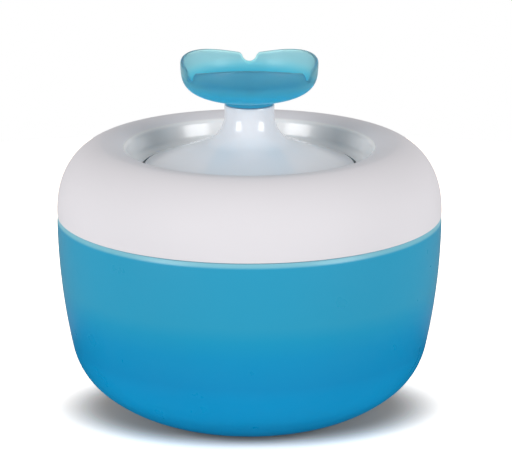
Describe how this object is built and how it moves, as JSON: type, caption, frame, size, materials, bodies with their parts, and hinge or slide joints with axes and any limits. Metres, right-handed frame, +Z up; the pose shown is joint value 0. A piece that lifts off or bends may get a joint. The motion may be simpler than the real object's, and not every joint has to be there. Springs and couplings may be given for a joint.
{
  "type": "pet water fountain",
  "caption": "Round pet drinking fountain: blue water tank with a submersible pump, white ring cover with a drinking recess, flow cone and a notched overflow cup.",
  "frame": {"origin": "on the table under the middle of the tank", "axes": "+Z up along the riser, front towards -Y, cord gland towards +Y, +X to the right"},
  "size_m": [0.22, 0.22, 0.2077],
  "materials": {
    "tank_blue": "milky translucent polypropylene, satin",
    "foot_rubber": "matt",
    "gland_rubber": "matt",
    "cover_white": "satin moulded",
    "dish_white": "gloss moulded",
    "tray_plastic": "satin moulded",
    "filter_plastic": "satin moulded",
    "fleece": "needled fleece",
    "carbon": "granular activated carbon",
    "cone_white": "gloss",
    "seal_rubber": "satin",
    "spout_blue": "clear tinted, gloss",
    "riser_plastic": "gloss",
    "pump_plastic": "satin",
    "dial_plastic": "gloss",
    "impeller_plastic": "gloss",
    "magnet": "sintered ferrite",
    "shaft_ceramic": "polished ceramic",
    "bush_rubber": "matt",
    "core_steel": "laminated steel",
    "coil_copper": "enamelled copper wire",
    "sucker_rubber": "translucent",
    "cage_plastic": "satin",
    "foam": "open-cell foam"
  },
  "bodies": {
    "tank_body": {"tank": "tank_blue", "rubber_feet": "foot_rubber", "cable_gland": "gland_rubber"},
    "cover_body": {"top_cover": "cover_white", "dish_ring": "dish_white", "filter_tray": "tray_plastic"},
    "filter_body": {"filter_frame": "filter_plastic", "filter_fleece": "fleece", "carbon_bed": "carbon"},
    "cone_body": {"flow_cone": "cone_white"},
    "seal_body": {"spout_o_ring": "seal_rubber"},
    "spout_body": {"spout_cup": "spout_blue"},
    "pump_body": {"pump_housing": "pump_plastic", "pump_front_cover": "pump_plastic", "riser_tube": "riser_plastic", "rotor_shaft": "shaft_ceramic", "shaft_bush_front": "bush_rubber", "shaft_bush_rear": "bush_rubber", "stator_core": "core_steel", "stator_coil": "coil_copper", "suction_cups": "sucker_rubber", "prefilter_cage": "cage_plastic", "foam_prefilter": "foam"},
    "rotor_body": {"impeller": "impeller_plastic", "rotor_magnet": "magnet"},
    "dial_body": {"flow_dial": "dial_plastic"}
  },
  "joints": [
    {"name": "cover_lift", "type": "slide", "parent": "tank_body", "child": "cover_body", "axis": [0, 0, 1], "range_m": [0, 0.12]},
    {"name": "cone_lift", "type": "slide", "parent": "cover_body", "child": "cone_body", "axis": [0, 0, 1], "range_m": [0, 0.09]},
    {"name": "filter_lift", "type": "slide", "parent": "cover_body", "child": "filter_body", "axis": [0, 0, 1], "range_m": [0, 0.045]},
    {"name": "spout_lift", "type": "slide", "parent": "cone_body", "child": "seal_body", "axis": [0, 0, 1], "range_m": [0, 0.03]},
    {"name": "spout_turn", "type": "hinge", "parent": "seal_body", "child": "spout_body", "pos_m": [0, 0, 0.19], "axis": [0, 0, 1], "continuous": true},
    {"name": "pump_lift", "type": "slide", "parent": "tank_body", "child": "pump_body", "axis": [0, 0, 1], "range_m": [0, 0.06]},
    {"name": "impeller_spin", "type": "hinge", "parent": "pump_body", "child": "rotor_body", "pos_m": [0, 0, 0.03596], "axis": [0, 1, 0], "continuous": true},
    {"name": "flow_adjust", "type": "hinge", "parent": "pump_body", "child": "dial_body", "pos_m": [0, -0.015, 0.03596], "axis": [0, 1, 0], "range_deg": [0, 58]}
  ],
  "couplings": [
    {"joint": "filter_lift", "follows": "cone_lift", "ratio": 0.5},
    {"joint": "pump_lift", "follows": "cover_lift", "ratio": 0.5}
  ]
}
